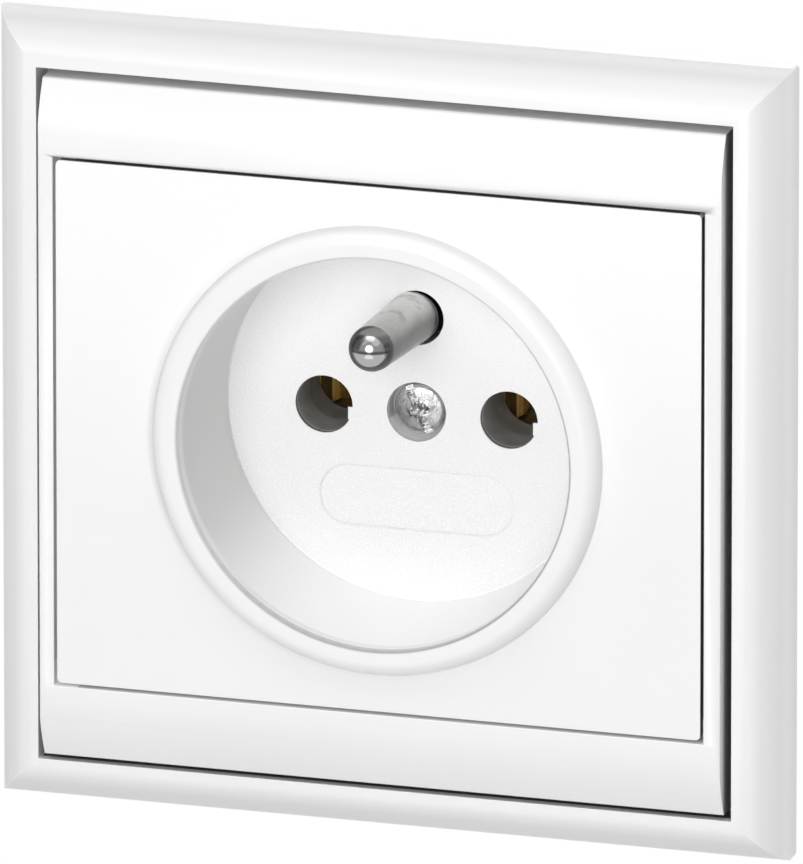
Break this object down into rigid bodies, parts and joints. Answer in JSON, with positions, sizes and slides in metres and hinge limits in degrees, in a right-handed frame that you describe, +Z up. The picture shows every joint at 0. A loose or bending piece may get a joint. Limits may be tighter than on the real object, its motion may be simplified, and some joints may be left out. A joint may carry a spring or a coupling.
{
  "type": "wall socket",
  "caption": "Square white flush wall socket with a round plug well, two contact holes and an earth pin, carried by a steel bridge with its wiring block behind.",
  "frame": {"origin": "on the wall's surface, at the centre of the wall box that the socket is fixed over and on the axis of its centre screw", "axes": "the front faces -Y, +Y runs back into the wall box, +X is to the right seen from the front, +Z is up"},
  "size_m": [0.0812, 0.0392, 0.0812],
  "materials": {
    "outer_frame": "satin white",
    "middle_frame": "satin white",
    "centre_plate": "satin white, with a fine grain on the well's floor",
    "centre_screw": "bright zinc",
    "threaded_insert": "plain",
    "contact_cover": "graphite",
    "socket_base": "cream",
    "line_contact": "plain",
    "neutral_contact": "plain",
    "line_contact_clip": "spring steel",
    "neutral_contact_clip": "spring steel",
    "line_clamp": "zinc",
    "neutral_clamp": "zinc",
    "earth_clamp": "zinc",
    "line_terminal_screw": "zinc",
    "neutral_terminal_screw": "zinc",
    "earth_terminal_screw": "zinc",
    "earth_pin": "nickel, polished",
    "earth_strap": "plain",
    "mounting_bridge": "zinc",
    "left_rivet": "zinc",
    "right_rivet": "zinc"
  },
  "bodies": {
    "root": {"outer_frame": "outer_frame", "middle_frame": "middle_frame", "centre_plate": "centre_plate", "centre_screw": "centre_screw", "threaded_insert": "threaded_insert", "contact_cover": "contact_cover", "socket_base": "socket_base", "line_contact": "line_contact", "neutral_contact": "neutral_contact", "line_contact_clip": "line_contact_clip", "neutral_contact_clip": "neutral_contact_clip", "line_clamp": "line_clamp", "neutral_clamp": "neutral_clamp", "earth_clamp": "earth_clamp", "line_terminal_screw": "line_terminal_screw", "neutral_terminal_screw": "neutral_terminal_screw", "earth_terminal_screw": "earth_terminal_screw", "earth_pin": "earth_pin", "earth_strap": "earth_strap", "mounting_bridge": "mounting_bridge", "left_rivet": "left_rivet", "right_rivet": "right_rivet"}
  },
  "joints": []
}
